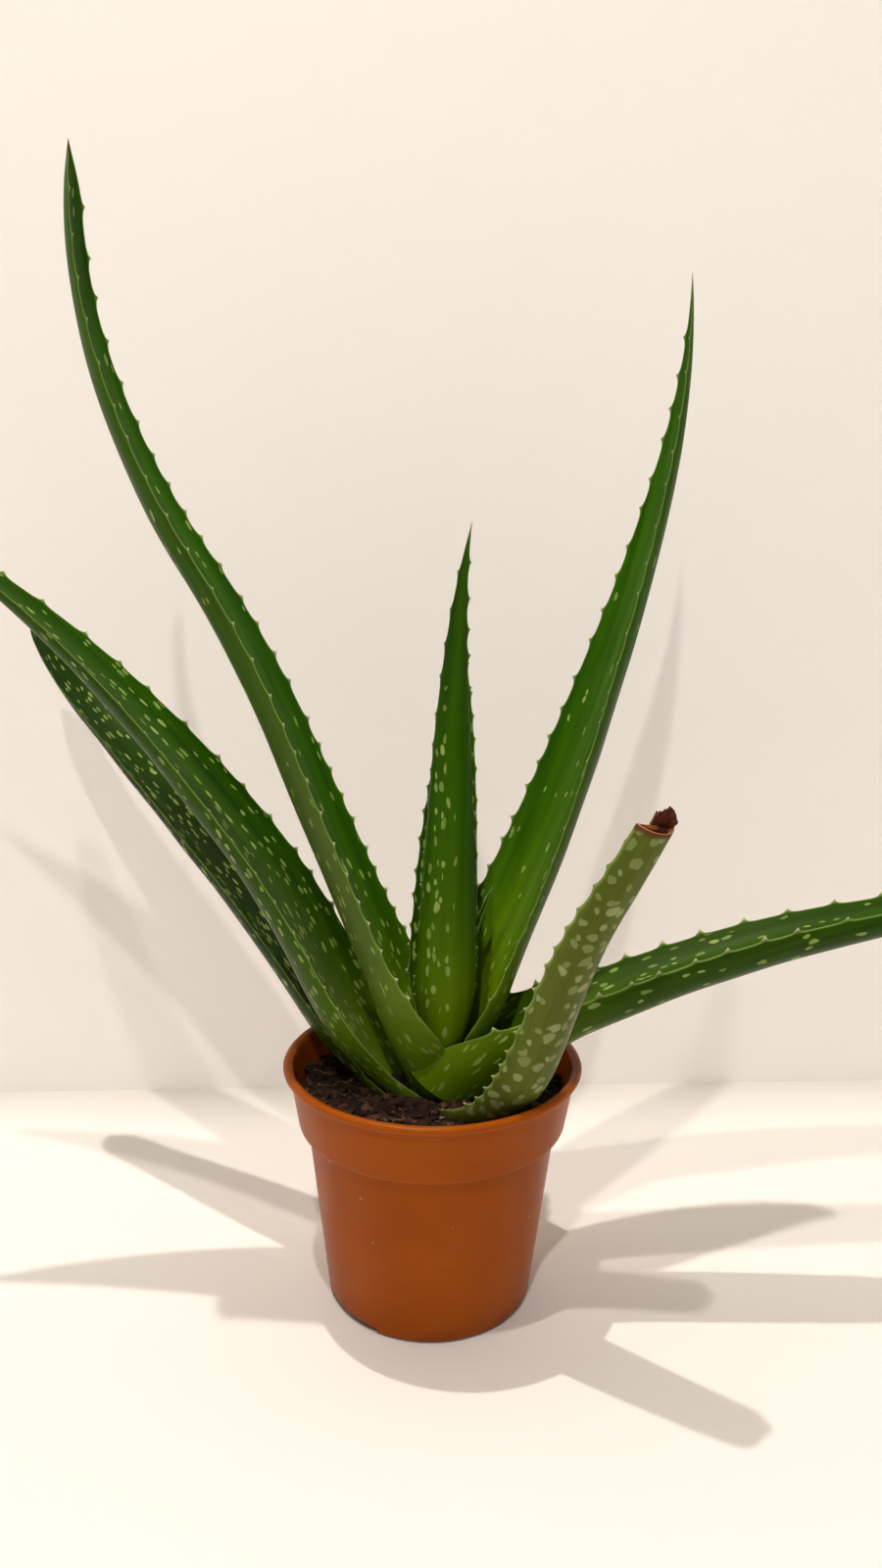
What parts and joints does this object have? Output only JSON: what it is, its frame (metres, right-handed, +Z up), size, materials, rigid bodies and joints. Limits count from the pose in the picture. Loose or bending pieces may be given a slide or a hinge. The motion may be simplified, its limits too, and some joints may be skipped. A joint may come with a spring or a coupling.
{
  "type": "potted aloe plant",
  "caption": "Potted aloe: long channelled toothed leaves on a short stem, one leaf cut off short, in a tapered plastic nursery pot of bark mix; it rests on its flat base.",
  "frame": {"origin": "centre of the pot's flat underside, on the surface it stands on", "axes": "+Z up; +X along the spread of the long low leaves, from the bent left pair to the long right leaf; the cut leaf leans to the front, -Y"},
  "size_m": [0.4972, 0.1933, 0.4421],
  "materials": {
    "pot_plastic": "satin moulded terracotta-brown plastic",
    "potting_mix": "loose dark peat and bark with paler chips",
    "stem_skin": "smooth pale green plant stem",
    "leaf_skin": "waxy green leaf skin with pale flecks and pale toothed edges",
    "cut_leaf_skin": "waxy grey-green leaf skin with large pale spots and a dried red-brown cut end"
  },
  "bodies": {
    "root": {"pot": "pot_plastic", "potting_mix": "potting_mix", "stem": "stem_skin", "leaf_bud": "leaf_skin", "leaf_centre_front": "leaf_skin", "leaf_centre_back": "leaf_skin", "leaf_tall_right": "leaf_skin", "leaf_tall_left": "leaf_skin", "leaf_low_right": "leaf_skin", "leaf_low_left": "leaf_skin", "leaf_cut_front": "cut_leaf_skin", "leaf_lowest_left": "leaf_skin"}
  },
  "joints": []
}
